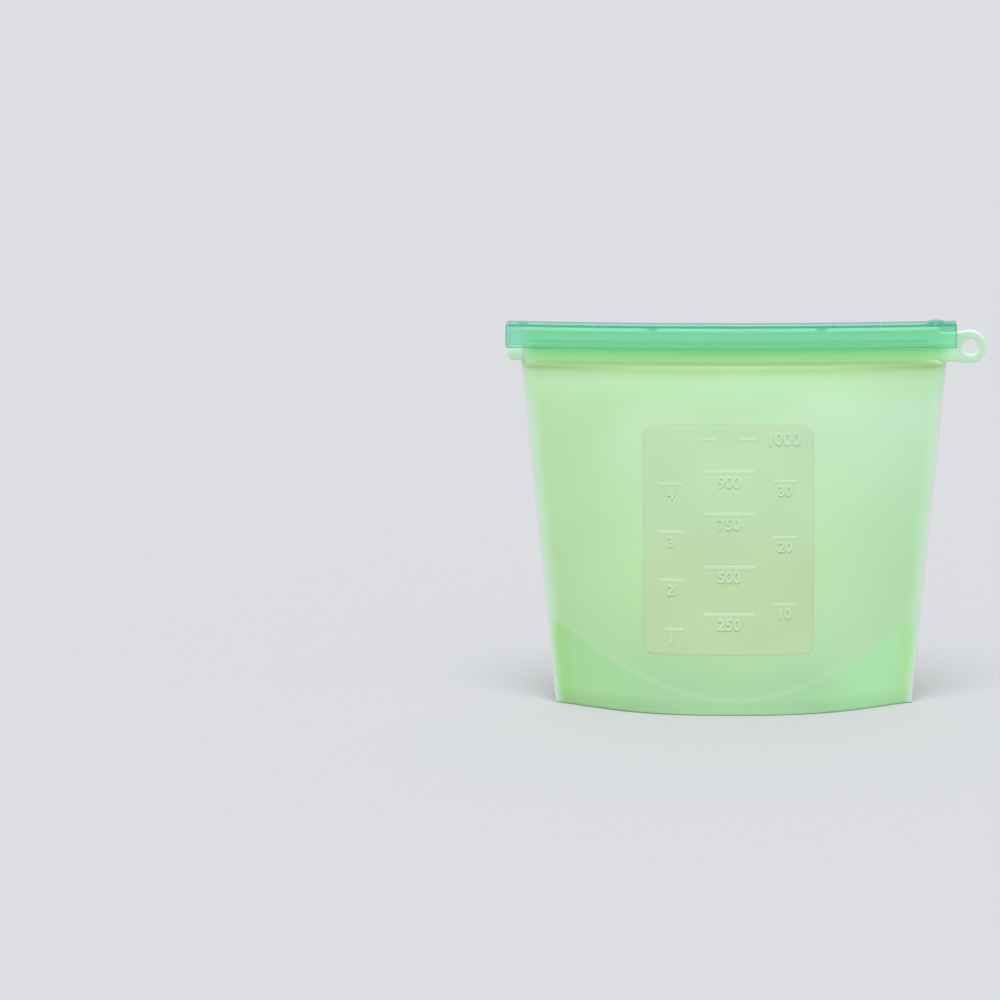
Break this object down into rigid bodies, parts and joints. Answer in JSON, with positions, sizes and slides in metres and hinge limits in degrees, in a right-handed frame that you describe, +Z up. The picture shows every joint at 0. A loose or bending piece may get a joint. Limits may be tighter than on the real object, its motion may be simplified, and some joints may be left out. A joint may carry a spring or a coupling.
{
  "type": "reusable silicone bag",
  "caption": "Stand-up flexible food bag with a lens-shaped gusseted base, thick lips along its mouth, a rigid closing bar that slides off them, and a hanging ring.",
  "frame": {"origin": "centre of the base, in the bag's mid-plane, on the surface that it stands on", "axes": "+X along the closing bar towards the hanging ring, -Y towards the side with the measuring scale, +Z up"},
  "size_m": [0.2302, 0.0608, 0.1858],
  "materials": {
    "bag_silicone": "frosted translucent silicone, pale green",
    "lip_silicone": "frosted translucent silicone, thicker and so a stronger green",
    "bar_plastic": "clear glossy plastic tinted teal green"
  },
  "bodies": {
    "bag_base": {"bottom_gusset": "bag_silicone", "front_wall_lower": "bag_silicone", "back_wall_lower": "bag_silicone", "left_side_seam": "bag_silicone", "right_side_seam": "bag_silicone", "left_ear": "bag_silicone", "ring_neck": "bag_silicone"},
    "front_flap": {"front_wall_upper": "bag_silicone", "front_lip": "lip_silicone"},
    "back_flap": {"back_wall_upper": "bag_silicone", "back_lip": "lip_silicone"},
    "closing_bar": {"bar_top": "bar_plastic", "bar_end": "bar_plastic", "bar_front_side": "bar_plastic", "bar_back_side": "bar_plastic"},
    "ring": {"hanging_ring": "bag_silicone"}
  },
  "joints": [
    {"name": "bar_slide", "type": "slide", "parent": "bag_base", "child": "closing_bar", "axis": [-1, 0, 0], "range_m": [0, 0.225]},
    {"name": "front_opening", "type": "hinge", "parent": "bag_base", "child": "front_flap", "pos_m": [0, -0.0218, 0.05215], "axis": [1, 0, 0], "range_deg": [0, 12], "deforming": ["front_lip"]},
    {"name": "back_opening", "type": "hinge", "parent": "bag_base", "child": "back_flap", "pos_m": [0, 0.0218, 0.05215], "axis": [-1, 0, 0], "range_deg": [0, 12], "deforming": ["back_lip"]},
    {"name": "ring_flex", "type": "hinge", "parent": "bag_base", "child": "ring", "pos_m": [0.1082, 0, 0.1729], "axis": [0, 0, 1], "range_deg": [-60, 60], "stiffness_Nm_per_rad": 0.02}
  ],
  "couplings": [
    {"joint": "front_opening", "follows": "bar_slide", "rad_per_m": 0.93},
    {"joint": "back_opening", "follows": "bar_slide", "rad_per_m": 0.93}
  ]
}
